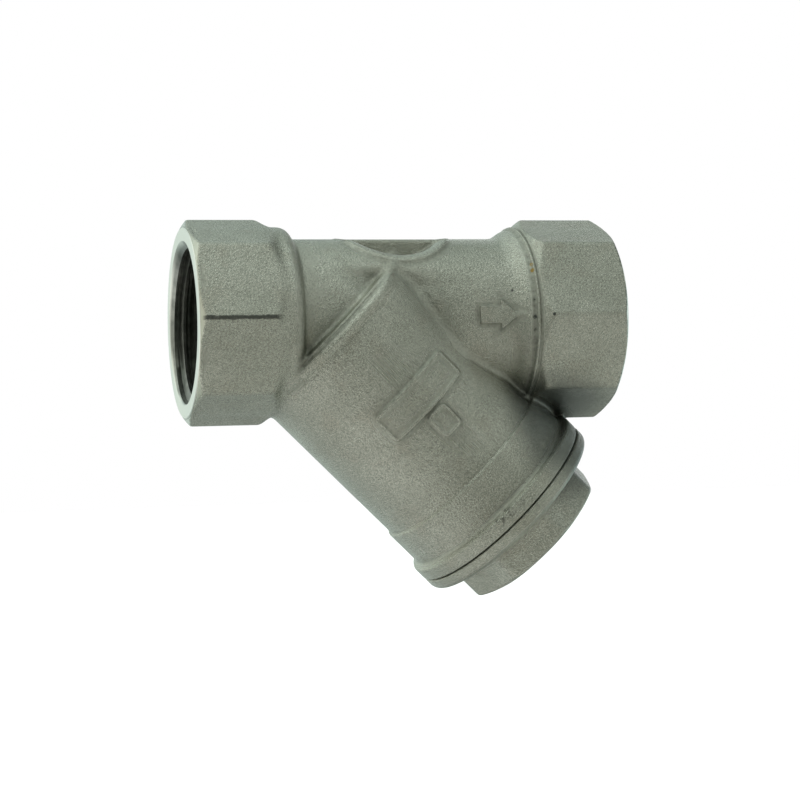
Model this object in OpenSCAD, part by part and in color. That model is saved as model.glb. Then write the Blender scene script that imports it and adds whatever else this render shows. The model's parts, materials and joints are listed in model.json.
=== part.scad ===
// Y strainer for threaded pipe: an investment-cast stainless steel body, a
// perforated screen in its 45 degree branch, and a screwed cap with a gasket.
// The origin is the centre of the inlet face. +X is the flow, +Z is up, and
// the branch hangs down towards the outlet.

/* [Run] */
// Distance from the inlet face to the outlet face
run_length = 90; // [88:1:96]
// Width across the flats of each octagonal end
end_flats = 39.5; // [38.5:0.5:42]
// Outer radius of the round tube between the ends
tube_r = 17.15; // [17:0.05:17.6]
// Radius of the bare flow passage
passage_r = 13.2; // [12:0.1:13.4]
// Radius of the pipe thread's crests (G1)
pipe_thread_r = 15.15; // [14.9:0.05:15.3]
// Length of the pipe thread from each face
pipe_thread_length = 16.5; // [15:0.5:17]

/* [Branch] */
// Where the branch axis crosses the flow axis
branch_x = 28.15; // [27.5:0.05:29]
// Distance along the branch axis to the body's end face
branch_length = 54.8; // [54:0.1:58]
// Outer radius of the branch barrel
barrel_r = 20.7; // [20.4:0.1:21]
// Radius of the branch's inner wall
cavity_r = 17.2; // [16.5:0.1:17.4]
// Outer radius of the body flange and of the cap flange
flange_r = 22.65; // [22.4:0.05:23.2]

/* [Cap] */
// Width across the flats of the cap's octagonal head
head_flats = 33; // [30:0.5:36]
// Height of the head below the cap flange
head_height = 8.1; // [6:0.05:10]
// Mean radius of the cap thread (M38)
cap_thread_r = 18.4; // [18.3:0.05:18.5]
// Length of the cap's threaded spigot
spigot_length = 8.8; // [8:0.1:9]

/* [Screen] */
// Outer radius of the screen sleeve
screen_r = 14; // [13.6:0.1:14]
// Thickness of the screen's sheet
screen_sheet = 0.8; // [0.6:0.1:1]
// Holes round the screen in each row
screen_columns = 14; // [8:1:20]
// Rows of holes along the screen
screen_rows = 10; // [5:1:14]
// Radius of each hole in the screen
screen_hole_r = 1.3; // [0.8:0.05:1.4]

/* [Hidden] */
$fn = 96;
slack = 0.01;
overlap = 1;
reach = 200;

steel = [0.62, 0.63, 0.60];
screen_steel = [0.72, 0.73, 0.74];
ptfe = [0.93, 0.93, 0.90];

// run
end_r = end_flats / 2 / cos(22.5);
end_length = 15.5;
outlet_end_length = 17;
corner_slope = 1.7;
rim_r = end_flats / 2 - 0.25;
rim_depth = (end_r - rim_r) / corner_slope;
back_chamfer = 1.7;
collar_r = 19.6;
collar_rise = 0.2;
inlet_collar_end = 19.8;
inlet_collar_tail = inlet_collar_end + 2.2;
outlet_collar_end = 20.1;
outlet_collar_tail = outlet_collar_end + 2.4;
mouth_r = 16.9;
mouth_chamfer = mouth_r - pipe_thread_r;

// branch
branch_angle = 45;
barrel_start = 2.2;
step_start = 42.6;
step_height = 0.6;
step_r = barrel_r + step_height;
flange_height = 4;
flange_start = branch_length - flange_height;
flange_slope = 1.6;
seam_round = 0.4;
thread_start = branch_length - 10;
web_top = 0.2;
web_thickness = 4;
web_bottom = web_top + web_thickness;
seat_depth = 2;
seat_r = screen_r + 0.3;
seat_hole_r = screen_r - 1.4;
seat_floor = web_bottom - seat_depth;
elbow_offset = screen_r;

// dip in the top of the casting above the seat web, with a rib left in it
dip_x = branch_x + 15.95;
dip_r = 14;
dip_z = tube_r + 9.6;
dip_wall = 3;
dip_width = 60;
rib_start = dip_x - 10;
rib_length = 20;
rib_width = 5;
rib_base = 10;
rib_height = 20;

// raised marks
mark_height = 0.45;
arrow_x = 58.5;
arrow_shaft = 4.5;
arrow_tip = 8.5;
arrow_shaft_half = 1.9;
arrow_head_half = 3.3;
mark_depth = 30;
tablet_height = 0.4;
long_tablet = [20, 20, 6];
short_tablet = [27.6, 7, 5];

// cap and gasket
seal_gap = 0.25;
gasket_recess_r = flange_r - 1.65;
gasket_recess_depth = 1;
gasket_outer_r = gasket_recess_r - 0.1;
gasket_inner_r = cap_thread_r + 0.4;
gasket_height = gasket_recess_depth + seal_gap;
cap_face = branch_length + seal_gap;
cap_flange_height = 3;
cap_flange_end = cap_face + cap_flange_height;
cap_end = cap_flange_end + head_height;
spigot_r = cap_thread_r - 0.05;
spigot_end = cap_face - spigot_length;
head_r = head_flats / 2 / cos(22.5);
head_turn = -4;
head_rim_r = head_flats / 2 - 0.1;
head_rim_depth = (head_r - head_rim_r) / corner_slope;
flange_round = 0.8;

// screen
screen_top = seat_floor + 0.1;
screen_bottom = cap_end - 5.95;
screen_pocket = screen_bottom + 0.3;
screen_margin = 4.2;
screen_hole_facets = 16;
screen_pitch = (screen_bottom - screen_top - 2 * screen_margin) / (screen_rows - 1);
pocket_r = seat_r;

// Stands local Z along the flow axis
module run(x = 0) {
  translate([x, 0, 0]) rotate([0, 90, 0]) children();
}

// Stands local Z along the branch axis, at a distance from the flow axis
module branch(t = 0) {
  translate([branch_x, 0, 0]) rotate([0, 180 - branch_angle, 0]) translate([0, 0, t]) children();
}

// A straight disc or rod along the branch
module branch_rod(r, from, to) {
  branch(from) cylinder(r = r, h = to - from);
}

// Outline of an octagonal end and the collar behind it, as radius against
// distance from its face
function end_outline(length, collar_to, tail) = [
  [0, 0],
  [rim_r, 0],
  [end_r, rim_depth],
  [end_r, length],
  [collar_r + collar_rise, length + back_chamfer],
  [collar_r, collar_to],
  [tube_r, tail],
  [0, tail]
];

module octagonal_end(length, collar_to, tail) {
  intersection() {
    cylinder(r = end_r, h = tail, $fn = 8);
    rotate_extrude() polygon(end_outline(length, collar_to, tail));
  }
}

module tube() {
  run(overlap) cylinder(r = tube_r, h = run_length - 2 * overlap);
}

// The round dip across the top of the tube; grow leaves a wall under it
module dip(grow = 0) {
  translate([dip_x, 0, dip_z]) rotate([90, 0, 0])
    cylinder(r = dip_r + grow, h = dip_width, center = true);
}

module rib() {
  intersection() {
    tube();
    translate([rib_start, -rib_width / 2, rib_base]) cube([rib_length, rib_width, rib_height]);
  }
}

module barrel() {
  branch_rod(barrel_r, barrel_start, branch_length - overlap);
  branch(step_start) cylinder(r1 = barrel_r, r2 = step_r, h = step_height);
  branch_rod(step_r, step_start + step_height, branch_length - overlap);
  branch(flange_start) rotate_extrude() polygon([
    [0, 0],
    [step_r, 0],
    [flange_r, flange_slope],
    [flange_r, flange_height - seam_round],
    [flange_r - seam_round, flange_height],
    [0, flange_height]
  ]);
}

// Flow arrow, standing proud of the front of the outlet tube
module flow_arrow() {
  intersection() {
    run(overlap) cylinder(r = tube_r + mark_height, h = run_length - 2 * overlap);
    rotate([90, 0, 0]) linear_extrude(height = mark_depth) translate([arrow_x, 0]) polygon([
      [0, -arrow_shaft_half],
      [arrow_shaft, -arrow_shaft_half],
      [arrow_shaft, -arrow_head_half],
      [arrow_tip, 0],
      [arrow_shaft, arrow_head_half],
      [arrow_shaft, arrow_shaft_half],
      [0, arrow_shaft_half]
    ]);
  }
}

// Blank raised tablet on the front of the barrel: [place along the branch, width, height]
module tablet(size) {
  intersection() {
    branch_rod(barrel_r + tablet_height, barrel_start, step_start);
    branch(size[0]) translate([-size[1] / 2, -mark_depth, 0]) cube([size[1], mark_depth, size[2]]);
  }
}

// Everything on the inlet side of a plane across the branch
module inlet_side(t) {
  branch(t - reach) cylinder(r = reach, h = reach);
}

// Flow passage from the inlet thread to the seat web
module inlet_passage() {
  difference() {
    intersection() {
      run(-overlap) cylinder(r = passage_r, h = run_length);
      inlet_side(web_top);
      branch(-reach / 2) translate([-elbow_offset, -reach / 2, 0]) cube([reach, reach, reach]);
    }
    dip(dip_wall);
  }
}

// Flow passage from the branch cavity to the outlet thread
module outlet_passage() {
  difference() {
    intersection() {
      run(branch_x) cylinder(r = passage_r, h = run_length - branch_x + overlap);
      branch(web_bottom) cylinder(r = reach, h = reach);
    }
    dip(dip_wall);
  }
}

// Threaded socket, drawn as a plain bore, with a countersunk mouth
module pipe_socket() {
  translate([0, 0, -overlap]) cylinder(r = pipe_thread_r, h = pipe_thread_length + overlap);
  translate([0, 0, -slack])
    cylinder(r1 = mouth_r + slack, r2 = pipe_thread_r, h = mouth_chamfer + slack);
}

// Stands local Z along the flow axis, from the outlet face inwards
module from_outlet() {
  translate([run_length, 0, 0]) mirror([1, 0, 0]) run() children();
}

module strainer_body() {
  color(steel) difference() {
    union() {
      difference() {
        tube();
        dip();
      }
      rib();
      run() octagonal_end(end_length, inlet_collar_end, inlet_collar_tail);
      from_outlet() octagonal_end(outlet_end_length, outlet_collar_end, outlet_collar_tail);
      barrel();
      flow_arrow();
      tablet(long_tablet);
      tablet(short_tablet);
    }
    run() pipe_socket();
    from_outlet() pipe_socket();
    inlet_passage();
    outlet_passage();
    branch_rod(seat_hole_r, web_top - overlap, web_bottom);
    branch_rod(seat_r, seat_floor, web_bottom + overlap);
    branch_rod(cavity_r, web_bottom, branch_length);
    branch_rod(cap_thread_r, thread_start, branch_length + overlap);
    branch_rod(gasket_recess_r, branch_length - gasket_recess_depth, branch_length + overlap);
  }
}

module screen() {
  color(screen_steel) difference() {
    branch_rod(screen_r, screen_top, screen_bottom);
    branch_rod(screen_r - screen_sheet, screen_top - overlap, screen_bottom + overlap);
    for (row = [0 : screen_rows - 1], column = [0 : screen_columns - 1])
      branch(screen_top + screen_margin + row * screen_pitch)
        rotate([0, 0, (column + (row % 2) / 2) * 360 / screen_columns])
          translate([screen_r - screen_sheet - overlap, 0, 0]) rotate([0, 90, 0])
            cylinder(r = screen_hole_r, h = screen_sheet + 2 * overlap, $fn = screen_hole_facets);
  }
}

module cap_gasket() {
  color(ptfe) difference() {
    branch_rod(gasket_outer_r, cap_face - gasket_height, cap_face);
    branch_rod(gasket_inner_r, cap_face - gasket_height - overlap, cap_face + overlap);
  }
}

module cap() {
  color(steel) difference() {
    union() {
      branch(cap_face) rotate_extrude() polygon([
        [0, 0],
        [flange_r - seam_round, 0],
        [flange_r, seam_round],
        [flange_r, cap_flange_height - flange_round],
        [flange_r - flange_round, cap_flange_height],
        [0, cap_flange_height]
      ]);
      branch(cap_flange_end - overlap) rotate([0, 0, head_turn]) intersection() {
        cylinder(r = head_r, h = head_height + overlap, $fn = 8);
        rotate_extrude() polygon([
          [0, 0],
          [head_r, 0],
          [head_r, head_height + overlap - head_rim_depth],
          [head_rim_r, head_height + overlap],
          [0, head_height + overlap]
        ]);
      }
      branch_rod(spigot_r, spigot_end, cap_face + overlap);
    }
    branch_rod(pocket_r, spigot_end - overlap, screen_pocket);
  }
}

strainer_body();
screen();
cap_gasket();
cap();
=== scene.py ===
import json
import math

import bmesh
import bpy
import numpy as np
from mathutils import Matrix, Vector


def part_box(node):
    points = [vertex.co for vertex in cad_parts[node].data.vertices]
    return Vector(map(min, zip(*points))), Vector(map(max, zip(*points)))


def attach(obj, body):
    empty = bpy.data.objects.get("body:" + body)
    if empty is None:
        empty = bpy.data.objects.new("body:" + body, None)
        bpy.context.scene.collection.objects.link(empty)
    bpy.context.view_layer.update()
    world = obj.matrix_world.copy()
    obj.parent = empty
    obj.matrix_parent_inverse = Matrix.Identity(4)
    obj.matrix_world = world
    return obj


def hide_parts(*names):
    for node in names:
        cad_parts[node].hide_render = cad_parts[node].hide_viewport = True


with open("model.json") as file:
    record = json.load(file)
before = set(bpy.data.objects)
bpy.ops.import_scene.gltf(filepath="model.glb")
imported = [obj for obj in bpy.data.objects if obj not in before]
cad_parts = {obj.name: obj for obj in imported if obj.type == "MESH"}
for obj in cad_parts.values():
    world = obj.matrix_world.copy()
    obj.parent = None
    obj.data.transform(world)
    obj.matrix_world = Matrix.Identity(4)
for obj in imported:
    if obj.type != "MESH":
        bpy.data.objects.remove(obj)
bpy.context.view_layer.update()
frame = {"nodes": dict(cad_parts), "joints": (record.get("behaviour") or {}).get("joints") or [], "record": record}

MM = 0.001
HALF = math.sqrt(0.5)

# ---------------------------------------------------------------- sizes, in mm
record = frame["record"]
joints = {j["name"]: j for j in frame["joints"]}
mounts = {m["name"]: m for m in record["mounts"]}
body_hi = np.array(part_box("strainer_body")[1]) / MM
gasket_hi = np.array(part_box("cap_gasket")[1]) / MM
screen_lo, screen_hi = (np.array(c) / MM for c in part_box("screen"))
cap_hi = np.array(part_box("cap")[1]) / MM

BRANCH_X = joints["cap_turn"]["pos_m"][0] / MM
RUN = body_hi[0]
END_R = body_hi[2]
END_HALF = END_R * math.cos(math.radians(22.5))
RIM_R = END_HALF - 0.25
RIM_SLOPE = 1.7
FLANGE_R = cap_hi[1]
GASKET_R = gasket_hi[1]
CAP_FACE = (gasket_hi[0] - BRANCH_X) / HALF - GASKET_R
SCREEN_R = screen_hi[1]
SCREEN_TOP = (screen_lo[0] - BRANCH_X) / HALF + SCREEN_R
SCREEN_END = (screen_hi[0] - BRANCH_X) / HALF - SCREEN_R
PIPE_CREST = mounts["inlet"]["dims"]["r_mm"]
CAP_PITCH = joints["cap_travel"]["range_m"][1] / MM / (joints["cap_turn"]["range_deg"][1] / 360)

SEAM = 0.16
BODY_FACE = CAP_FACE - SEAM
TUBE_R = 17.15
BARREL_R = 20.7
BARREL_START = 1.15
STEP_AT = 42.6
STEP_RISE = 0.5
PASSAGE_R = 13.2
CAVITY_R = 17.2
WEB_TOP = 0.2
WEB_END = 4.2
SEAT_FLOOR = 2.2
SEAT_R = 14.3
SEAT_HOLE_R = 12.6
DIP_X = BRANCH_X + 15.95
DIP_Z = TUBE_R + 9.6
DIP_R = 14.0
RIB_HALF = 2.5
PIPE_DEPTH = 16.5
PIPE_PITCH = 2.309
PIPE_ROOT = 16.62
MOUTH_R = 16.9
SLEEVE_R = 17.6
CAP_CREST = 17.95
CAP_ROOT = 19.05
CAP_THREAD_TOP = BODY_FACE - 10
BRANCH_SLEEVE_R = 19.9
RECESS_R = FLANGE_R - 1.65
HEAD_HALF = 16.5
HEAD_TURN = math.radians(-4)
HEAD_TOP = CAP_FACE + 3.0
HEAD_END = HEAD_TOP + 7.8
POCKET_END = SCREEN_END + 0.3
SPIGOT_TOP = CAP_FACE - 8.8

INLET_LENGTH = 15.6
OUTLET_LENGTH = 16.7
FACE_SINK = 0.12        # the casting stops short of the machined faces by this
COLLAR_R = 19.65
INLET_COLLAR_END = 21.7
OUTLET_BAND_END = 20.3
OUTLET_RAMP_END = 23.1
FLANGE_SLOPE = 2.0
FLANGE_SLOPE_AT = BODY_FACE - 2.95
FLANGE_START = 40
FOOT_DEPTH = 2.0        # how far the tube's wall sinks at the barrel's foot
LIP_R = 0.86
SPIGOT_CORE_R = 17.3
SPIGOT_ROOT = 17.62
SPIGOT_CREST = 18.85
GASKET_HEIGHT = 1.25
SHEET_THICKNESS = 0.4
HOLE_SHARE = 0.29       # a screen hole's radius, as a share of the pitch
SCREEN_BANDS = 7.0      # both plain ends of the screen together, at the least
WELD_PITCH = 6
WELD_DEPTH = 0.12

ARROW_X = 58.5
ARROW_SHAFT = 5.2
ARROW_TIP = 8.5
ARROW_HEAD = 4.5
PADS = ((23, 20, 7), (30, 5, 6))   # place along the branch, width, height

GRID = 0.32
BODY_TRIANGLES = 195000
CAP_TRIANGLES = 110000
CREASE_REACH = 0.9
DETAIL_BEND = 0.05
KEEP_DETAIL = 0.00002


# ------------------------------------------------------------- distance fields
def smooth_min(a, b, k):
    h = np.maximum(k - np.abs(a - b), 0) / k
    return np.minimum(a, b) - h * h * (k / 4)


def smooth_max(a, b, k):
    return -smooth_min(-a, -b, k)


def blend_step(value, start, width):
    f = np.clip((value - start) / width, 0, 1)
    return f * f * (3 - 2 * f)


def octagon(p, q, half, round_by, turn=0.0):
    """Distance to an octagon with corners on the axes, turned, and with softened corners."""
    c, s = math.cos(turn), math.sin(turn)
    a, b = p * c + q * s, q * c - p * s
    sides = []
    for angle in (22.5, 67.5, 112.5, 157.5):
        x, y = math.cos(math.radians(angle)), math.sin(math.radians(angle))
        sides.append(np.abs(a * x + b * y))
    first = smooth_max(sides[0], sides[1], round_by)
    second = smooth_max(sides[2], sides[3], round_by)
    return smooth_max(first, second, round_by) - half


def along(x, z):
    return (x - BRANCH_X) * HALF - z * HALF


def across(x, z):
    return (x - BRANCH_X) * HALF + z * HALF


def rim_cone(r, x):
    """Distance to the cone that cuts the corners of an octagon at its face."""
    return (r - RIM_R - x * RIM_SLOPE) / math.hypot(1, RIM_SLOPE)


def end_block(x, y, z, length, face, softness):
    """An octagonal end with its face at x = 0: flats, turned corners and the cone behind them."""
    r = np.hypot(y, z)
    flats = octagon(y, z, END_HALF, 0.5)
    front = smooth_max(flats, face - x, 0.25)
    front = smooth_max(front, rim_cone(r, x), 0.25)
    cone = ((r - END_R) + (x - length)) * HALF
    return smooth_max(front, cone, softness)


def turned_cone(x, y, z):
    """Distance to the cones that cut the corners of both octagons."""
    r = np.hypot(y, z)
    back = RUN - x
    return np.where(x < 8, rim_cone(r, x), np.where(back < 8, rim_cone(r, back), 9))


def dip(x, z, wall=0.0):
    """Distance inside the round dip across the top of the tube, grown by a wall."""
    return (DIP_R + wall) - np.hypot(x - DIP_X, z - DIP_Z)


def bell(value, middle, width):
    return np.exp(-(((value - middle) / width) ** 2))


def rounded_box(p, q, half_p, half_q, corner):
    a, b = np.abs(p) - (half_p - corner), np.abs(q) - (half_q - corner)
    return np.hypot(np.maximum(a, 0), np.maximum(b, 0)) + np.minimum(np.maximum(a, b), 0) - corner


def arrow_shape(x, z):
    """Signed distance to the flow arrow's outline in the x-z plane."""
    half = ARROW_SHAFT / 2
    shaft = rounded_box(x - (ARROW_X + half), z, half, 1.9, 0.25)
    tip = ARROW_X + ARROW_TIP
    side = (np.abs(z) - (tip - x) * 0.82) * 0.77
    head = np.maximum(side, ARROW_X + ARROW_HEAD - x)
    return np.minimum(shaft, head)


def outside(x, y, z):
    r = np.hypot(y, z)
    t, n = along(x, z), across(x, z)
    branch_r = np.hypot(n, y)

    # the tube's wall sinks towards the barrel's foot on the outlet side
    outlet_side = blend_step(n, 6, 6) * (1 - blend_step(z, 6, 5))
    foot_gap = np.maximum(branch_r - 21.6, 0) / 3.8
    foot = FOOT_DEPTH * np.exp(-(foot_gap ** 1.2)) * outlet_side
    foot = foot * (1 - blend_step(t, 13, 13))
    tube = smooth_max(r - (TUBE_R - foot), dip(x, z), 1.8)
    lip = np.hypot(r - (TUBE_R - 0.42), dip(x, z) + 0.60) - LIP_R
    tube = smooth_min(tube, np.maximum(lip, 6 - np.abs(y)), 0.6)
    # rib left standing in the dip, along the middle plane
    rib = smooth_max(np.abs(y) - RIB_HALF, r - (TUBE_R - 0.05), 0.8)
    rib = np.maximum(rib, np.abs(x - DIP_X) - 12)
    rib = np.maximum(rib, 8 - z)
    tube = smooth_min(tube, rib, 0.7)
    arrow = smooth_max(arrow_shape(x, z - 0.2), r - (TUBE_R + 0.38), 0.22)
    tube = smooth_min(tube, np.maximum(arrow, y + 8), 0.25)

    # branch barrel: a grooved bead round its upper end, a larger lower end and two blank pads
    fade = 1 - blend_step(n, 7, 8)
    bead = 0.52 * bell(t, 3.2, 0.85) - 0.42 * bell(t, 1.85, 0.32) - 0.25 * bell(t, 4.7, 0.45)
    flare = 0.9 * blend_step(n, 5, 9) * (1 - blend_step(t, 9, 16))
    grown = BARREL_R + bead * fade + flare + STEP_RISE * blend_step(t, STEP_AT - 0.2, 0.6)
    barrel = smooth_max(branch_r - grown, BARREL_START - t, 1.9)
    d = smooth_min(tube, barrel, 1.2)
    for place, width, height in PADS:
        outline = rounded_box(n, t - place, width / 2, height / 2, 1.2)
        pad = smooth_max(outline, branch_r - (BARREL_R + 0.28), 0.3)
        frame_line = smooth_max(np.abs(outline + 0.45) - 0.38, branch_r - (BARREL_R + 0.45), 0.3)
        pad = np.maximum(smooth_min(pad, frame_line, 0.2), y + 8)
        d = smooth_min(d, pad, 0.3)

    # body flange
    slope = (branch_r - FLANGE_R) - (t - FLANGE_SLOPE_AT) * FLANGE_SLOPE
    slope = slope / math.hypot(1, FLANGE_SLOPE)
    flange = smooth_max(branch_r - FLANGE_R, slope, 0.4)
    flange = smooth_max(flange, FLANGE_START - t, 0.5)
    d = smooth_min(d, flange, 0.5)
    d = smooth_max(d, t - BODY_FACE, 0.5)

    # inlet end, with its rounded collar
    inlet = end_block(x, y, z, INLET_LENGTH, FACE_SINK, 0.7)
    collar = smooth_max(r - COLLAR_R, x - INLET_COLLAR_END, 2.6)
    inlet = smooth_min(inlet, np.maximum(collar, 2 - x), 0.9)
    d = smooth_min(d, inlet, 1.0)

    # outlet end, with a ramp, a groove and a band
    back = RUN - x
    outlet = end_block(back, y, z, OUTLET_LENGTH, FACE_SINK, 0.3)
    band = smooth_max(r - COLLAR_R, back - OUTLET_BAND_END, 0.5)
    slope = ((r - TUBE_R) + (back - OUTLET_RAMP_END) * 0.95) * 0.72
    ramp = smooth_max(r - 19.45, slope, 1.8)
    groove = 0.55 - np.hypot(r - 19.6, back - 20.35)
    line = 0.32 - np.hypot(r - 19.75, back - 18.9)
    collar = smooth_max(smooth_max(smooth_min(band, ramp, 0.3), groove, 0.25), line, 0.2)
    outlet = smooth_min(outlet, np.maximum(collar, 2 - back), 0.35)
    return smooth_min(d, outlet, 1.2)


def inside(x, y, z):
    """Distance to the hollow of the casting: negative where it is open."""
    r = np.hypot(y, z)
    t, n = along(x, z), across(x, z)
    branch_r = np.hypot(n, y)
    back = RUN - x

    entry = smooth_max(r - PASSAGE_R, t - WEB_TOP, 0.8)
    entry = smooth_max(entry, n - SCREEN_R, 4.0)
    entry = smooth_max(entry, dip(x, z, 3.0), 3.0)
    leave = smooth_max(r - PASSAGE_R, WEB_END - t, 0.8)
    leave = smooth_max(leave, dip(x, z, 3.0), 3.0)
    cavity = smooth_max(branch_r - CAVITY_R, WEB_END - t, 0.8)
    hollow = smooth_min(smooth_min(leave, cavity, 1.6), np.maximum(entry, 10 - x), 0.4)

    hole = np.maximum(branch_r - SEAT_HOLE_R, np.abs(t - 2) - 3)
    seat = np.maximum(branch_r - SEAT_R, np.maximum(SEAT_FLOOR - t, t - 6))
    mouth = np.maximum(branch_r - BRANCH_SLEEVE_R, CAP_THREAD_TOP + 0.2 - t)
    recess = np.maximum(branch_r - (RECESS_R + 0.3), BODY_FACE - 1.4 - t)
    sockets = np.maximum(r - SLEEVE_R, np.minimum(x, back) - (PIPE_DEPTH - 0.1))
    for part in (hole, seat, mouth, recess, sockets):
        hollow = np.minimum(hollow, part)
    return hollow


def casting(x, y, z):
    return smooth_max(outside(x, y, z), -inside(x, y, z), 0.35)


def cap_solid(u, v, w):
    """The cap without its thread, in branch coordinates: w runs along the branch."""
    r = np.hypot(u, v)
    disc = smooth_max(r - FLANGE_R, w - HEAD_TOP, 1.5)
    disc = smooth_max(disc, CAP_FACE - w, 0.5)
    flats = octagon(u, v, HEAD_HALF, 0.7, HEAD_TURN)
    crown = r - (HEAD_HALF - 0.05) + (w - HEAD_END) * RIM_SLOPE
    crown = crown / math.hypot(1, RIM_SLOPE)
    head = smooth_max(smooth_max(flats, w - HEAD_END, 0.5), crown, 0.5)
    head = np.maximum(head, CAP_FACE + 0.5 - w)
    d = smooth_min(disc, head, 1.5)
    core = smooth_max(r - SPIGOT_CORE_R, SPIGOT_TOP + 0.15 - w, 0.5)
    d = smooth_min(d, np.maximum(core, w - CAP_FACE - 1), 0.3)
    pocket = np.maximum(r - SEAT_R, w - POCKET_END)
    return smooth_max(d, -pocket, 0.4)


# ---------------------------------------------------------------------- meshes
def gradient(field, p, step=0.02):
    out = np.empty_like(p)
    for axis in range(3):
        d = np.zeros(3)
        d[axis] = step
        a, b = p + d, p - d
        out[:, axis] = (field(*a.T) - field(*b.T)) / (2 * step)
    return out


def sample(field, lo, hi, step, block=8):
    """Field values on a grid: exact in blocks near the surface, one value per block elsewhere."""
    blocks = np.ceil((hi - lo) / (step * block)).astype(int)
    middle = [lo[i] + (np.arange(blocks[i]) + 0.5) * step * block - step / 2 for i in range(3)]
    rough = field(middle[0][:, None, None], middle[1][None, :, None], middle[2][None, None, :])
    rough = np.broadcast_to(rough, blocks)
    f = np.repeat(np.repeat(np.repeat(rough, block, 0), block, 1), block, 2).astype(np.float32)
    near = np.argwhere(np.abs(rough) < step * block * 1.3)
    cell = np.arange(block)
    for part in np.array_split(near, max(1, len(near) // 2000)):
        index = part[:, :, None] * block + cell
        x, y, z = (lo[i] + index[:, i] * step for i in range(3))
        value = field(x[:, :, None, None], y[:, None, :, None], z[:, None, None, :])
        i, j, k = index[:, 0], index[:, 1], index[:, 2]
        f[i[:, :, None, None], j[:, None, :, None], k[:, None, None, :]] = value
    return f


def surface(field, lo, hi, step):
    """Vertices and quads of a field's zero surface: one vertex per mixed cell, moved onto it."""
    lo, hi = np.asarray(lo, float), np.asarray(hi, float)
    f = sample(field, lo, hi, step)
    solid = f < 0
    shape = tuple(s - 1 for s in f.shape)
    count = np.zeros(shape, np.int8)
    corners = [(i, j, k) for i in (0, 1) for j in (0, 1) for k in (0, 1)]
    for i, j, k in corners:
        count += solid[i : i + shape[0], j : j + shape[1], k : k + shape[2]]
    cells = np.argwhere((count > 0) & (count < 8))
    number = np.full(shape, -1, np.int64)
    number[tuple(cells.T)] = np.arange(len(cells))

    total = np.zeros((len(cells), 3))
    hits = np.zeros(len(cells))
    for c in corners:
        for axis in range(3):
            if c[axis]:
                continue
            a = cells + c
            b = a.copy()
            b[:, axis] += 1
            fa, fb = f[tuple(a.T)], f[tuple(b.T)]
            cross = (fa < 0) != (fb < 0)
            share = np.where(cross, fa / np.where(cross, fa - fb, 1), 0)
            point = a.astype(float)
            point[:, axis] += share
            total[cross] += point[cross]
            hits[cross] += 1
    verts = total / hits[:, None] * step + lo

    quads = []
    for axis in range(3):
        u, v = (axis + 1) % 3, (axis + 2) % 3
        lower = [slice(None)] * 3
        upper = [slice(None)] * 3
        lower[axis], upper[axis] = slice(0, -1), slice(1, None)
        first, second = solid[tuple(lower)], solid[tuple(upper)]
        edges = np.argwhere(first != second)
        keep = np.all([(edges[:, q] > 0) & (edges[:, q] < shape[q]) for q in (u, v)], axis=0)
        edges = edges[keep]
        outward = first[tuple(edges.T)]
        ring = []
        for du, dv in ((-1, -1), (0, -1), (0, 0), (-1, 0)):
            c = edges.copy()
            c[:, u] += du
            c[:, v] += dv
            ring.append(number[tuple(c.T)])
        ring = np.stack(ring, 1)
        ring[~outward] = ring[~outward][:, ::-1]
        quads.append(ring)
    quads = np.concatenate(quads)

    return settle(field, verts, 3), quads


def settle(field, verts, rounds):
    """Moves points onto a field's zero surface."""
    for _ in range(rounds):
        g = gradient(field, verts)
        size = np.maximum((g * g).sum(1), 0.05)
        move = np.clip(field(*verts.T) / size, -0.2, 0.2)
        verts = verts - move[:, None] * g
    return verts


def detailed(field, verts, shell):
    """Which points lie near an edge or a crease of the outer surface, and keep their mesh."""
    near = np.abs(shell(*verts.T)) < 0.3
    p = verts[near]
    normal = gradient(field, p)
    normal /= np.maximum(np.linalg.norm(normal, axis=1), 1e-9)[:, None]
    above, below = p + normal * CREASE_REACH, p - normal * CREASE_REACH
    rise, fall = field(*above.T) - CREASE_REACH, field(*below.T) + CREASE_REACH
    bend = np.maximum(np.abs(rise), np.abs(fall))
    near[near] = bend > DETAIL_BEND
    return near


def carved(name, field, shell, lo, hi, step, most, matrix=None):
    """An object from a distance field, thinned to about most triangles, with exact normals."""
    verts, quads = surface(field, lo, hi, step)
    obj = make_object(name, verts, quads)
    triangles = 2 * len(obj.data.polygons)
    if triangles > most:
        plain = obj.vertex_groups.new(name="plain")
        plain.add(np.flatnonzero(~detailed(field, verts, shell)).tolist(), 1.0, "REPLACE")
        apply_modifier(obj, "DECIMATE", ratio=most / triangles, vertex_group="plain",
                       vertex_group_factor=KEEP_DETAIL)
    mesh = obj.data
    p = np.empty(len(mesh.vertices) * 3)
    mesh.vertices.foreach_get("co", p)
    p = settle(field, p.reshape(-1, 3) / MM, 2)
    normal = gradient(field, p)
    normal /= np.maximum(np.linalg.norm(normal, axis=1), 1e-9)[:, None]
    out = p + normal * CREASE_REACH
    depth = np.clip((CREASE_REACH - field(*out.T)) / CREASE_REACH * 1.6, 0, 1)
    mesh.polygons.foreach_set("use_smooth", [True] * len(mesh.polygons))
    mesh.normals_split_custom_set_from_vertices(normal.tolist())
    if matrix is None:
        turned = 1 - blend_step(np.abs(turned_cone(*p.T)), 0.03, 0.10)
    else:
        turned = depth * 0
        p = placed(p, matrix)
    mesh.vertices.foreach_set("co", (p * MM).ravel())
    for label, values in (("crease", depth), ("turned", turned)):
        attribute = mesh.attributes.new(label, "FLOAT", "POINT")
        attribute.data.foreach_set("value", values.astype(np.float32))
    mesh.update()
    return obj


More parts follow.
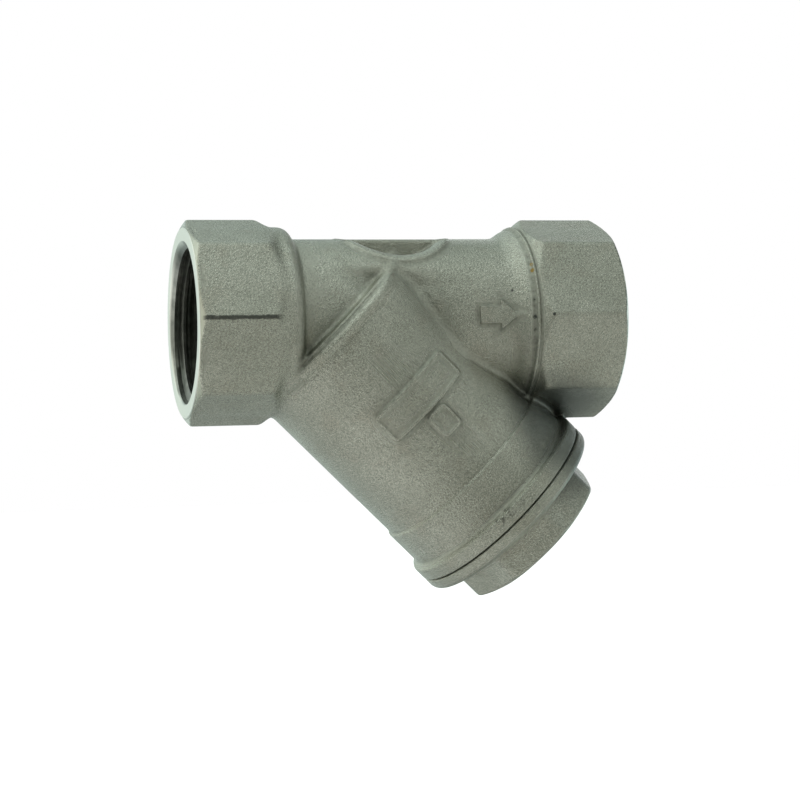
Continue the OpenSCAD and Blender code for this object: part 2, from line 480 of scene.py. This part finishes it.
def make_object(name, verts, faces, smooth=True):
    """A mesh object from mm coordinates in the part's frame."""
    mesh = bpy.data.meshes.new(name)
    mesh.from_pydata((np.asarray(verts) * MM).tolist(), [], [list(f) for f in faces])
    mesh.validate()
    obj = bpy.data.objects.new(name, mesh)
    bpy.context.scene.collection.objects.link(obj)
    if smooth:
        mesh.polygons.foreach_set("use_smooth", [True] * len(mesh.polygons))
    return obj


def apply_modifier(obj, kind, **values):
    mod = obj.modifiers.new(kind, kind)
    for key, value in values.items():
        setattr(mod, key, value)
    bpy.context.view_layer.update()
    evaluated = obj.evaluated_get(bpy.context.evaluated_depsgraph_get())
    mesh = bpy.data.meshes.new_from_object(evaluated)
    obj.modifiers.clear()
    obj.data = mesh
    return obj


def branch_matrix():
    """Branch coordinates to the part's frame, in mm."""
    m = np.eye(4)
    m[:3, 0] = (-HALF, 0, -HALF)
    m[:3, 1] = (0, 1, 0)
    m[:3, 2] = (HALF, 0, -HALF)
    m[:3, 3] = (BRANCH_X, 0, 0)
    return m


def run_matrix(start, forward):
    """Local Z along +X or -X from a face, as a right-handed frame."""
    m = np.eye(4)
    m[:3, 2] = (forward, 0, 0)
    m[:3, 1] = (0, 1, 0)
    m[:3, 0] = (0, 0, -forward)
    m[:3, 3] = (start, 0, 0)
    return m


def placed(verts, matrix):
    verts = np.asarray(verts, float)
    return verts @ matrix[:3, :3].T + matrix[:3, 3]


def ring_points(z, radius, columns):
    """One plain ring of points at a height and a radius."""
    angle = np.arange(columns) * 2 * math.pi / columns
    height = np.full(columns, float(z))
    return np.stack([radius * np.cos(angle), radius * np.sin(angle), height], 1)


def thread_rows(start, end, pitch, profile, limit, columns):
    """Rows of a right-hand thread's surface.

    profile lists (share of pitch, radius), and limit(z, r) trims it.
    """
    turns = int(math.ceil((end - start) / pitch)) + 2
    angle = np.arange(columns) * 2 * math.pi / columns
    rows = []
    for turn in range(-1, turns):
        for share, radius in profile:
            z = start + (turn + share) * pitch + pitch * angle / (2 * math.pi)
            z = np.clip(z, start, end)
            r = limit(z, np.full(columns, float(radius)))
            rows.append(np.stack([r * np.cos(angle), r * np.sin(angle), z], 1))
    return rows


def skin(rows, steps):
    """Faces of a thread's rows. Going round once moves on by one pitch of rows."""
    columns = len(rows[0])
    verts = np.concatenate(rows)
    faces = []
    for i in range(len(rows) - 1):
        for j in range(columns):
            a, b = i * columns + j, (i + 1) * columns + j
            if j + 1 < columns:
                c, d = b + 1, a + 1
            else:
                c, d = (i + 1 + steps) * columns, (i + steps) * columns
            if max(a, b, c, d) < len(verts):
                faces.append((a, b, c, d))
    return verts, faces


def threaded_ring(name, matrix, start, end, pitch, profile, limit, closing, columns=144):
    """A threaded wall from start to end, closed by plain rings from its end to its start."""
    rows = thread_rows(start, end, pitch, profile, limit, columns)
    verts, faces = skin(rows, len(profile))
    offset = len(verts)
    loops = [ring_points(z, r, columns) for z, r in closing]
    extra = np.concatenate(loops)
    for i in range(len(loops) - 1):
        for j in range(columns):
            k = (j + 1) % columns
            a, b = offset + i * columns + j, offset + (i + 1) * columns + j
            faces.append((a, b, offset + (i + 1) * columns + k, offset + i * columns + k))
    return finish_ring(name, placed(np.concatenate([verts, extra]), matrix), faces)


def lathe(name, matrix, outline, columns):
    """A closed ring turned from (z, radius) points."""
    loops = [ring_points(z, r, columns) for z, r in outline]
    count = len(loops)
    faces = []
    for i in range(count):
        for j in range(columns):
            k, m = (j + 1) % columns, (i + 1) % count
            faces.append((i * columns + j, m * columns + j, m * columns + k, i * columns + k))
    return finish_ring(name, placed(np.concatenate(loops), matrix), faces)


def finish_ring(name, verts, faces):
    """Merges doubled points, drops empty faces and turns all faces outward."""
    obj = make_object(name, verts, faces, smooth=False)
    bm = bmesh.new()
    bm.from_mesh(obj.data)
    bmesh.ops.remove_doubles(bm, verts=bm.verts, dist=2e-6)
    bmesh.ops.dissolve_degenerate(bm, edges=bm.edges, dist=1e-6)
    loose = [v for v in bm.verts if not v.link_faces]
    bmesh.ops.delete(bm, geom=loose, context="VERTS")
    bmesh.ops.recalc_face_normals(bm, faces=bm.faces)
    if bm.calc_volume(signed=True) < 0:
        bmesh.ops.reverse_faces(bm, faces=bm.faces)
    bm.to_mesh(obj.data)
    bm.free()
    for polygon in obj.data.polygons:
        polygon.use_smooth = True
    return obj


def mark_bore(obj, matrix, radius):
    """Stores where a turned piece lies inside a bore, as the attribute bore."""
    p = np.empty(len(obj.data.vertices) * 3)
    obj.data.vertices.foreach_get("co", p)
    local = placed(p.reshape(-1, 3) / MM, np.linalg.inv(matrix))
    inside_bore = 1 - blend_step(np.hypot(local[:, 0], local[:, 1]), radius, 0.1)
    attribute = obj.data.attributes.new("bore", "FLOAT", "POINT")
    attribute.data.foreach_set("value", inside_bore.astype(np.float32))


def set_sharp(obj, degrees):
    obj.data.set_sharp_from_angle(angle=math.radians(degrees))


# ------------------------------------------------------------------- materials
class Nodes:
    """A small helper that adds nodes to one material and links them."""

    def __init__(self, name):
        self.material = bpy.data.materials.new(name)
        self.material.use_nodes = True
        self.tree = self.material.node_tree
        self.shader = self.tree.nodes["Principled BSDF"]

    def add(self, kind, **values):
        node = self.tree.nodes.new(kind)
        for key, value in values.items():
            setattr(node, key, value)
        return node

    def link(self, a, b):
        self.tree.links.new(a, b)

    def math(self, operation, a, b=None):
        node = self.add("ShaderNodeMath", operation=operation)
        for socket, value in zip(node.inputs, (a, b)):
            if value is None:
                continue
            if isinstance(value, (int, float)):
                socket.default_value = value
            else:
                self.link(value, socket)
        return node.outputs[0]

    def mix(self, factor, a, b):
        node = self.add("ShaderNodeMix", data_type="RGBA")
        for socket, value in zip((node.inputs[k] for k in ("Factor", "A", "B")), (factor, a, b)):
            if isinstance(value, (int, float)):
                socket.default_value = value
            elif isinstance(value, tuple):
                socket.default_value = (*value, 1)
            else:
                self.link(value, socket)
        return node.outputs["Result"]

    def noise(self, scale, detail, rough, vector):
        node = self.add("ShaderNodeTexNoise")
        node.inputs["Scale"].default_value = scale
        node.inputs["Detail"].default_value = detail
        node.inputs["Roughness"].default_value = rough
        self.link(vector, node.inputs["Vector"])
        return node.outputs["Fac"]

    def ramp(self, value, low, high):
        """0 below low, 1 above high."""
        node = self.add("ShaderNodeMapRange", interpolation_type="SMOOTHSTEP")
        self.link(value, node.inputs["Value"])
        node.inputs["From Min"].default_value = low
        node.inputs["From Max"].default_value = high
        return node.outputs["Result"]

    def bump(self, height, strength, distance, normal=None):
        node = self.add("ShaderNodeBump")
        node.inputs["Strength"].default_value = strength
        node.inputs["Distance"].default_value = distance
        self.link(height, node.inputs["Height"])
        if normal is not None:
            self.link(normal, node.inputs["Normal"])
        return node.outputs["Normal"]


def near_point(n, place, point, reach):
    """1 at a point given in mm, falling to 0 at its reach."""
    gap = n.add("ShaderNodeVectorMath", operation="DISTANCE")
    n.link(place, gap.inputs[0])
    gap.inputs[1].default_value = [c * MM for c in point]
    return n.ramp(gap.outputs["Value"], reach * MM, reach * MM * 0.55)


def front_corner_line(n, place, noise):
    """A thin dark line along the foremost corner of the inlet's octagon."""
    split = n.add("ShaderNodeSeparateXYZ")
    n.link(place, split.inputs[0])
    x, y, z = split.outputs
    wobble = n.math("ADD", z, n.math("MULTIPLY", n.math("SUBTRACT", noise, 0.5), 0.0009))
    thin = n.ramp(n.math("ABSOLUTE", wobble), 0.00058, 0.00024)
    start, end = n.ramp(x, 0.0003, 0.0010), n.ramp(x, 0.0170, 0.0150)
    front = n.ramp(y, -0.0195, -0.0205)
    length = n.math("MULTIPLY", start, end)
    return n.math("MULTIPLY", n.math("MULTIPLY", thin, front), length)


# casting flaws, rust and a painted shade: place in the part's frame and reach, both in mm
PORES = (
    ((73.1, -21.3, 0.0), 0.50),
    ((69.65, -19.1, -0.5), 0.55),
    ((69.65, -19.0, 3.1), 0.40),
    ((69.60, -19.0, -3.1), 0.45),
    ((19.6, -14.9, 11.8), 0.45),
    ((65.8, -16.4, 5.2), 0.32),
    ((38.3, -19.6, -7.2), 0.22),
)
# painted shade in the corner between the outlet end and the branch
CORNER_SHADE = ((75.5, -9.0, -25.0), 18.0)
RUST = (((70.3, -16.1, 10.4), 0.60), ((70.2, -16.8, 9.2), 0.65))
SCARS = (
    ((60.3, -21.5, -42.2), 1.5),
    ((62.0, -22.1, -40.2), 1.6),
    ((64.3, -22.5, -37.9), 1.1),
)


def cast_steel(name):
    """Blasted and pickled investment casting: satin, finely grained, with painted shade in the creases."""
    n = Nodes(name)
    place = n.add("ShaderNodeTexCoord").outputs["Object"]
    cloud = n.noise(70, 3, 0.55, place)
    patch = n.noise(160, 2, 0.5, place)
    fine = n.noise(4600, 2, 0.6, place)
    grain = n.noise(2500, 3, 0.65, place)
    coarse = n.noise(520, 2, 0.5, place)
    ragged = n.noise(900, 3, 0.7, place)
    crease = n.add("ShaderNodeAttribute", attribute_name="crease").outputs["Fac"]
    turned = n.add("ShaderNodeAttribute", attribute_name="turned").outputs["Fac"]
    blasted = n.math("SUBTRACT", 1.0, turned)

    tone = n.mix(n.ramp(cloud, 0.35, 0.68), (0.46, 0.47, 0.405), (0.53, 0.54, 0.47))
    tone = n.mix(n.math("MULTIPLY", n.ramp(patch, 0.52, 0.72), 0.22), tone, (0.40, 0.36, 0.29))
    speck = n.math("MULTIPLY", n.ramp(grain, 0.42, 0.70), blasted)
    tone = n.mix(n.math("MULTIPLY", speck, 0.42), tone, (0.20, 0.205, 0.175))
    shine = n.math("MULTIPLY", n.ramp(fine, 0.60, 0.78), blasted)
    tone = n.mix(n.math("MULTIPLY", shine, 0.55), tone, (0.78, 0.79, 0.71))
    # painted shade: the creases darkened through a ragged mask
    crease_shade = n.math("MULTIPLY", crease, n.ramp(ragged, 0.20, 0.80))
    tone = n.mix(n.math("MULTIPLY", crease_shade, 0.70), tone, (0.10, 0.105, 0.09))
    # a thin dark line along the inlet octagon's foremost corner, broken up by the grain
    corner_line = n.math("MULTIPLY", front_corner_line(n, place, ragged), n.ramp(grain, 0.22, 0.42))
    tone = n.mix(n.math("MULTIPLY", corner_line, 0.8), tone, (0.03, 0.033, 0.032))
    # painted shade darkening the corner between the outlet end and the branch
    corner_shade = n.math("MULTIPLY", near_point(n, place, *CORNER_SHADE), n.ramp(patch, 0.10, 0.40))
    tone = n.mix(n.math("MULTIPLY", corner_shade, 0.75), tone, (0.13, 0.14, 0.13))
    for point, reach in PORES:
        pore = n.math("MULTIPLY", near_point(n, place, point, reach), n.ramp(grain, 0.25, 0.50))
        tone = n.mix(n.math("MULTIPLY", pore, 0.9), tone, (0.04, 0.045, 0.045))
    for point, reach in SCARS:
        scar = n.math("MULTIPLY", near_point(n, place, point, reach), n.ramp(ragged, 0.45, 0.62))
        tone = n.mix(n.math("MULTIPLY", scar, 0.7), tone, (0.09, 0.09, 0.08))
    for point, reach in RUST:
        rust = n.math("MULTIPLY", near_point(n, place, point, reach), n.ramp(ragged, 0.30, 0.5))
        tone = n.mix(n.math("MULTIPLY", rust, 0.9), tone, (0.34, 0.22, 0.05))
    n.link(tone, n.shader.inputs["Base Color"])
    n.shader.inputs["Metallic"].default_value = 1.0
    rough = n.math("ADD", n.math("MULTIPLY", cloud, 0.10), 0.19)
    rough = n.math("ADD", rough, n.math("MULTIPLY", crease, 0.18))
    rough = n.math("SUBTRACT", rough, n.math("MULTIPLY", turned, 0.06))
    n.link(rough, n.shader.inputs["Roughness"])
    height = n.math("ADD", n.math("MULTIPLY", grain, 0.60), n.math("MULTIPLY", fine, 0.40))
    height = n.math("MULTIPLY", height, blasted)
    normal = n.bump(coarse, 0.40, 0.00022)
    normal = n.bump(height, 1.0, 0.00036, normal)
    n.link(normal, n.shader.inputs["Normal"])
    return n.material


def machined_steel(name):
    """Turned stainless steel, brighter and finer, with painted shade darkening the bores."""
    n = Nodes(name)
    place = n.add("ShaderNodeTexCoord").outputs["Object"]
    cloud = n.noise(90, 2, 0.5, place)
    bore = n.add("ShaderNodeAttribute", attribute_name="bore").outputs["Fac"]
    tone = n.mix(cloud, (0.68, 0.69, 0.63), (0.84, 0.85, 0.79))
    # painted shade inside the bores, made patchy by noise
    bore_shade_noise = n.ramp(n.noise(420, 3, 0.6, place), 0.25, 0.7)
    dark = n.mix(bore_shade_noise, (0.10, 0.11, 0.10), (0.26, 0.27, 0.25))
    tone = n.mix(n.math("MULTIPLY", bore, 0.85), tone, dark)
    n.link(tone, n.shader.inputs["Base Color"])
    n.shader.inputs["Metallic"].default_value = 1.0
    n.link(n.math("ADD", n.math("MULTIPLY", cloud, 0.15), 0.24), n.shader.inputs["Roughness"])
    n.link(n.bump(n.noise(3000, 2, 0.5, place), 0.25, 0.00003), n.shader.inputs["Normal"])
    return n.material


def sheet_steel(name):
    """Rolled perforated sheet."""
    n = Nodes(name)
    place = n.add("ShaderNodeTexCoord").outputs["Object"]
    cloud = n.noise(120, 3, 0.5, place)
    n.link(n.mix(cloud, (0.48, 0.48, 0.46), (0.62, 0.62, 0.60)), n.shader.inputs["Base Color"])
    n.shader.inputs["Metallic"].default_value = 1.0
    n.link(n.math("ADD", n.math("MULTIPLY", cloud, 0.2), 0.25), n.shader.inputs["Roughness"])
    n.link(n.bump(n.noise(1800, 2, 0.5, place), 0.3, 0.00004), n.shader.inputs["Normal"])
    return n.material


def ptfe(name):
    n = Nodes(name)
    place = n.add("ShaderNodeTexCoord").outputs["Object"]
    cloud = n.noise(300, 3, 0.5, place)
    n.link(n.mix(cloud, (0.78, 0.78, 0.74), (0.88, 0.88, 0.85)), n.shader.inputs["Base Color"])
    n.shader.inputs["Roughness"].default_value = 0.45
    n.shader.inputs["Subsurface Weight"].default_value = 0.1
    n.link(n.bump(n.noise(1500, 2, 0.5, place), 0.2, 0.00004), n.shader.inputs["Normal"])
    return n.material


CAST = cast_steel("cast_steel")
MACHINED = machined_steel("machined_steel")
SHEET = sheet_steel("screen_sheet_steel")
PTFE = ptfe("ptfe")


def dress(obj, material, body, slot, *nodes):
    """Gives a piece its material and body, and hides the CAD nodes it stands for; slot is not used."""
    obj.data.materials.clear()
    obj.data.materials.append(material)
    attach(obj, body)
    if nodes:
        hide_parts(*nodes)
    return obj


# ---------------------------------------------------------------------- pieces
def make_casting():
    lo = (-1.0, -FLANGE_R - 1, -60.0)
    hi = (RUN + 1, FLANGE_R + 1, END_R + 1)
    obj = carved("body_casting", casting, outside, lo, hi, GRID, BODY_TRIANGLES)
    return dress(obj, CAST, "body", "cast_body", "strainer_body")


def make_cap():
    lo = (-FLANGE_R - 1, -FLANGE_R - 1, SPIGOT_TOP - 1)
    hi = (FLANGE_R + 1, FLANGE_R + 1, HEAD_END + 1)
    obj = carved(
        "cap_casting", cap_solid, cap_solid, lo, hi, GRID, CAP_TRIANGLES, branch_matrix())
    return dress(obj, CAST, "cap", "cast_cap", "cap")


def make_socket(name, matrix):
    """A machined pipe socket: face, countersink and G1 thread, closed behind."""
    profile = [(0.0, PIPE_CREST), (0.12, PIPE_CREST), (0.42, PIPE_ROOT),
               (0.58, PIPE_ROOT), (0.88, PIPE_CREST)]

    def limit(z, r):
        cone = MOUTH_R - z
        fade = np.clip((PIPE_DEPTH - 0.3 - z) / 2.0, 0, 1)
        r = PIPE_CREST + (r - PIPE_CREST) * fade
        return np.maximum(r, cone)

    closing = [
        (PIPE_DEPTH, PIPE_CREST),
        (PIPE_DEPTH, SLEEVE_R + 0.3),
        (1.5, SLEEVE_R + 0.3),
        (1.0, RIM_R - 0.9),
        (0.3, RIM_R + 0.1),
        (0.12, RIM_R + 0.1),
        (0.0, RIM_R - 0.05),
        (0.0, MOUTH_R),
    ]
    obj = threaded_ring(name, matrix, 0.0, PIPE_DEPTH, PIPE_PITCH, profile, limit, closing)
    mark_bore(obj, matrix, PIPE_ROOT + 0.05)
    set_sharp(obj, 28)
    return dress(obj, MACHINED, "body", "cast_body", "strainer_body")


def make_branch_mouth():
    """The machined mouth of the branch: end face, gasket recess and the cap's female thread."""
    profile = [(0.0, CAP_CREST), (0.12, CAP_CREST), (0.44, CAP_ROOT),
               (0.56, CAP_ROOT), (0.88, CAP_CREST)]
    recess = BODY_FACE - 1.0

    def limit(z, r):
        fade = np.clip((z - CAP_THREAD_TOP) / 2.0, 0, 1)
        r = CAP_CREST + (r - CAP_CREST) * fade
        return np.maximum(r, CAP_ROOT + 0.1 - (recess - z))

    closing = [
        (recess, CAP_ROOT + 0.1),
        (recess, RECESS_R),
        (BODY_FACE - 0.15, RECESS_R),
        (BODY_FACE, RECESS_R + 0.15),
        (BODY_FACE + 0.01, FLANGE_R - 0.55),
        (BODY_FACE - 0.4, FLANGE_R - 0.65),
        (BODY_FACE - 1.8, RECESS_R + 0.4),
        (BODY_FACE - 1.9, BRANCH_SLEEVE_R + 0.3),
        (CAP_THREAD_TOP, BRANCH_SLEEVE_R + 0.3),
        (CAP_THREAD_TOP, CAP_CREST),
    ]
    obj = threaded_ring("branch_mouth", branch_matrix(), CAP_THREAD_TOP, recess, CAP_PITCH,
                        profile, limit, closing)
    set_sharp(obj, 28)
    return dress(obj, MACHINED, "body", "cast_body", "strainer_body")


def make_spigot():
    """The cap's male thread, a closed ring round the casting's plain core."""
    low, high = SPIGOT_ROOT, SPIGOT_CREST
    profile = [(0.0, low), (0.14, low), (0.45, high), (0.55, high), (0.86, low)]
    start, end = SPIGOT_TOP, CAP_FACE - 0.2

    def limit(z, r):
        lead = low + np.clip(z - start, 0, 2) * 0.9
        run_out = low + np.clip(end - z, 0, 2) * 0.9
        return np.minimum(np.minimum(r, lead), run_out)

    closing = [(end, low), (end, 16.6), (start + 0.4, 16.6), (start, 16.9), (start, low)]
    obj = threaded_ring("cap_spigot", branch_matrix(), start, end, CAP_PITCH,
                        profile, limit, closing)
    set_sharp(obj, 28)
    return dress(obj, MACHINED, "cap", "cast_cap", "cap")


def make_gasket():
    """PTFE ring with a shallow pressed step on one side."""
    inner = gasket_inner()
    top, end = CAP_FACE - GASKET_HEIGHT, CAP_FACE
    outline = [
        (top + 0.12, inner), (top, inner + 0.12), (top, inner + 0.55), (top + 0.06, inner + 0.65),
        (top + 0.06, GASKET_R - 0.6), (top, GASKET_R - 0.5), (top, GASKET_R - 0.12),
        (top + 0.12, GASKET_R),
        (end - 0.12, GASKET_R), (end, GASKET_R - 0.12), (end, inner + 0.12), (end - 0.12, inner),
    ]
    obj = lathe("gasket_ring", branch_matrix(), outline, 128)
    set_sharp(obj, 35)
    return dress(obj, PTFE, "gasket", "ptfe", "cap_gasket")


def gasket_inner():
    """Inner radius of the CAD gasket, from its points."""
    mesh = frame["nodes"]["cap_gasket"].data
    p = np.array([v.co for v in mesh.vertices]) / MM
    n = across(p[:, 0], p[:, 2])
    return float(np.hypot(n, p[:, 1]).min())


def make_screen():
    """Perforated sheet rolled into a sleeve, its edge lapped and spot-welded."""
    sheet = SHEET_THICKNESS
    base_r = SCREEN_R - 1.5 * sheet
    round_length = 2 * math.pi * base_r
    columns = 36
    pitch = round_length / columns
    row_height = pitch * math.sqrt(3) / 2
    hole_r = pitch * HOLE_SHARE
    height = SCREEN_END - SCREEN_TOP
    rows = int((height - SCREEN_BANDS) / row_height)
    margin = (height - rows * row_height) / 2
    verts, faces, index = [], [], {}

    def vertex(u, v):
        key = (round(u, 4), round(v, 4))
        if key not in index:
            index[key] = len(verts)
            verts.append((u, v))
        return index[key]

    rim = [(0, 0), (0.5, 0), (1, 0), (1, 0.5), (1, 1), (0.5, 1), (0, 1), (0, 0.5)]
    for row in range(rows):
        v0 = margin + row * row_height
        shift = 0.5 * (row % 2)
        for column in range(columns + 2):
            u0 = (column + shift) * pitch
            points = [vertex(u0 + a * pitch, v0 + b * row_height) for a, b in rim]
            if column in (0, columns, columns + 1):
                faces.append(points)
                continue
            centre_u, centre_v = u0 + pitch / 2, v0 + row_height / 2
            hole = []
            for i in range(16):
                angle = -0.75 * math.pi + i * math.pi / 8
                across_u, across_v = hole_r * math.cos(angle), hole_r * math.sin(angle)
                hole.append(vertex(centre_u + across_u, centre_v + across_v))
            for i in range(8):
                a, b = points[i], points[(i + 1) % 8]
                faces.append([a, b, hole[(2 * i + 2) % 16], hole[2 * i + 1], hole[2 * i]])
        # a half cell squares off one end of each row
        a, b = (0, pitch / 2) if shift else ((columns + 2) * pitch, (columns + 2.5) * pitch)
        middle_v, end_v = v0 + row_height / 2, v0 + row_height
        faces.append([vertex(a, v0), vertex(b, v0), vertex(b, middle_v),
                      vertex(b, end_v), vertex(a, end_v), vertex(a, middle_v)])
    # plain bands at both ends
    for low, high in ((0.0, margin), (margin + rows * row_height, height)):
        for i in range((columns + 2) * 2 + 1):
            a, b = i * pitch / 2, (i + 1) * pitch / 2
            faces.append([vertex(a, low), vertex(b, low), vertex(b, high), vertex(a, high)])

    flat = np.array(verts)
    u, v = flat[:, 0], flat[:, 1]
    angle = u / base_r
    rise = sheet * 1.02 * blend_step(u, round_length - 0.8 * pitch, 0.8 * pitch)
    # spot welds press small dimples into the lap
    weld_u = round_length + 0.75 * pitch
    weld_v = np.mod(v - WELD_PITCH / 2, WELD_PITCH) - WELD_PITCH / 2
    dimple = WELD_DEPTH * np.exp(-((u - weld_u) ** 2 + weld_v ** 2) / 0.8)
    r = base_r + rise - dimple
    local = np.stack([r * np.cos(angle), r * np.sin(angle), SCREEN_TOP + v], 1)
    obj = make_object("screen_sleeve", placed(local, branch_matrix()), faces)
    bm = bmesh.new()
    bm.from_mesh(obj.data)
    bmesh.ops.recalc_face_normals(bm, faces=bm.faces)
    bm.to_mesh(obj.data)
    bm.free()
    apply_modifier(obj, "SOLIDIFY", thickness=sheet * MM, offset=0.0)
    obj.data.polygons.foreach_set("use_smooth", [True] * len(obj.data.polygons))
    set_sharp(obj, 40)
    return dress(obj, SHEET, "screen", "screen_sheet", "screen")


make_casting()
make_cap()
make_socket("inlet_socket", run_matrix(0.0, 1))
make_socket("outlet_socket", run_matrix(RUN, -1))
make_branch_mouth()
make_spigot()
make_gasket()
make_screen()


# ----------------------------------------------------------- camera and studio
VIEW_ANGLES = (-15.289, -0.738, -1.422)     # azimuth, elevation and roll, in degrees
VIEW_TARGET = (45.72, 0, -16.68)
VIEW_DISTANCE = 460.57
LENS = 98.45


def make_camera():
    azimuth, elevation, roll = (math.radians(a) for a in VIEW_ANGLES)
    target = Vector(VIEW_TARGET) * MM
    distance = VIEW_DISTANCE * MM
    flat = math.cos(elevation)
    back = Vector((math.sin(azimuth) * flat, -math.cos(azimuth) * flat, math.sin(elevation)))
    level = Vector((math.cos(azimuth), math.sin(azimuth), 0))
    up = back.cross(level)
    side = level * math.cos(roll) + up * math.sin(roll)
    top = up * math.cos(roll) - level * math.sin(roll)
    camera = bpy.data.cameras.new("camera")
    camera.sensor_width = 36
    camera.lens = LENS
    camera.clip_start = 0.01
    obj = bpy.data.objects.new("camera", camera)
    matrix = Matrix((side, top, back)).transposed().to_4x4()
    matrix.translation = target + back * distance
    obj.matrix_world = matrix
    bpy.context.scene.collection.objects.link(obj)
    bpy.context.scene.camera = obj


def area_light(name, place, aim, size, power, colour):
    light = bpy.data.lights.new(name, "AREA")
    light.shape = "RECTANGLE"
    light.size, light.size_y = size
    light.energy = power
    light.color = colour
    obj = bpy.data.objects.new(name, light)
    obj.location = place
    direction = Vector(aim) - Vector(place)
    obj.rotation_euler = direction.to_track_quat("-Z", "Y").to_euler()
    bpy.context.scene.collection.objects.link(obj)
    obj.visible_camera = False


FLOOR_HALF = 3.0
FLOOR_LEVEL = -0.14


def make_floor():
    corners = ((-1, -1), (1, -1), (1, 1), (-1, 1))
    points = [(FLOOR_HALF * x, FLOOR_HALF * y, FLOOR_LEVEL) for x, y in corners]
    mesh = bpy.data.meshes.new("floor")
    mesh.from_pydata(points, [], [(0, 1, 2, 3)])
    obj = bpy.data.objects.new("floor", mesh)
    bpy.context.scene.collection.objects.link(obj)
    n = Nodes("floor")
    n.shader.inputs["Base Color"].default_value = (0.9, 0.9, 0.9, 1)
    n.shader.inputs["Roughness"].default_value = 0.9
    n.shader.inputs["Emission Color"].default_value = (1, 1, 1, 1)
    n.shader.inputs["Emission Strength"].default_value = 0.62
    obj.data.materials.append(n.material)
    obj.visible_glossy = False
    obj.visible_diffuse = False


def make_world():
    """White behind the object; around it a dim grey room with soft panels of light."""
    world = bpy.data.worlds.new("studio")
    world.use_nodes = True
    tree = world.node_tree
    nodes, links = tree.nodes, tree.links
    place = nodes.new("ShaderNodeTexCoord").outputs["Generated"]

    def lobe(direction, low):
        dot = nodes.new("ShaderNodeVectorMath")
        dot.operation = "DOT_PRODUCT"
        dot.inputs[1].default_value = Vector(direction).normalized()
        links.new(place, dot.inputs[0])
        share = nodes.new("ShaderNodeMapRange")
        share.interpolation_type = "SMOOTHSTEP"
        share.inputs["From Min"].default_value = low
        share.inputs["From Max"].default_value = 1.0
        links.new(dot.outputs["Value"], share.inputs["Value"])
        return share.outputs["Result"]

    colour = None
    for direction, low, tint in ROOM:
        mix = nodes.new("ShaderNodeMix")
        mix.data_type = "RGBA"
        mix.blend_type = "ADD"
        mix.inputs["B"].default_value = (*tint, 1)
        if colour is None:
            mix.inputs["A"].default_value = (*ROOM_BASE, 1)
        else:
            links.new(colour, mix.inputs["A"])
        links.new(lobe(direction, low), mix.inputs["Factor"])
        colour = mix.outputs["Result"]
    room = nodes["Background"]
    links.new(colour, room.inputs["Color"])
    white = nodes.new("ShaderNodeBackground")
    white.inputs["Color"].default_value = (1, 1, 1, 1)
    path = nodes.new("ShaderNodeLightPath")
    pick = nodes.new("ShaderNodeMixShader")
    links.new(path.outputs["Is Camera Ray"], pick.inputs[0])
    links.new(room.outputs[0], pick.inputs[1])
    links.new(white.outputs[0], pick.inputs[2])
    links.new(pick.outputs[0], nodes["World Output"].inputs[0])
    bpy.context.scene.world = world


# the room's base colour, and its soft lights: direction, cosine at the edge, and tint
ROOM_BASE = (0.175, 0.200, 0.179)
ROOM = (
    ((-0.23, 0.11, 0.97), 0.6, (0.87, 0.98, 0.94)),
    ((-0.55, 0.04, -0.83), 0.8, (0.96, 0.97, 0.97)),
    ((0.93, -0.32, -0.17), 0.8, (0.92, 0.95, 0.91)),
    ((0.37, -0.10, -0.92), 0.9, (0.89, 0.97, 0.95)),
    ((0.40, -0.59, 0.70), 0.9, (0.46, 0.46, 0.40)),
    ((-0.91, 0.36, 0.21), 0.6, (0.69, 0.69, 0.62)),
    ((-0.08, -0.47, -0.88), 0.9, (0.55, 0.45, 0.38)),
    ((-0.27, 0.95, 0.14), 0.6, (0.44, 0.53, 0.52)),
    ((0.74, -0.33, 0.59), 0.9, (0.27, 0.28, 0.30)),
    ((-0.93, -0.05, -0.37), 0.9, (0.78, 0.77, 0.75)),
    ((0.44, -0.73, -0.52), 0.9, (0.30, 0.26, 0.22)),
    ((0.18, 0.85, -0.50), 0.9, (0.28, 0.30, 0.29)),
    ((0.83, 0.55, -0.10), 0.9, (0.77, 1.00, 1.05)),
    ((-0.11, -0.93, 0.34), 0.9, (0.21, 0.18, 0.16)),
    ((-0.26, 0.96, 0.01), 0.9, (0.15, 0.15, 0.13)),
)


# name, direction from the object, size in m, power in W and colour
LIGHTS = (
    ("upper_left", (-0.50, -0.45, 0.74), (0.30, 0.30), 0.55, (1.0, 1.0, 0.96)),
    ("back", (0.55, 0.80, 0.20), (0.5, 0.5), 0.4, (1.0, 1.0, 1.0)),
)
LIGHT_DISTANCE = 0.8

make_camera()
make_floor()
make_world()
middle = Vector((45, 0, -16)) * MM
for name, direction, size, power, colour in LIGHTS:
    place = middle + Vector(direction).normalized() * LIGHT_DISTANCE
    area_light(name, place, middle, size, power, colour)
bpy.context.scene.view_settings.view_transform = "Standard"

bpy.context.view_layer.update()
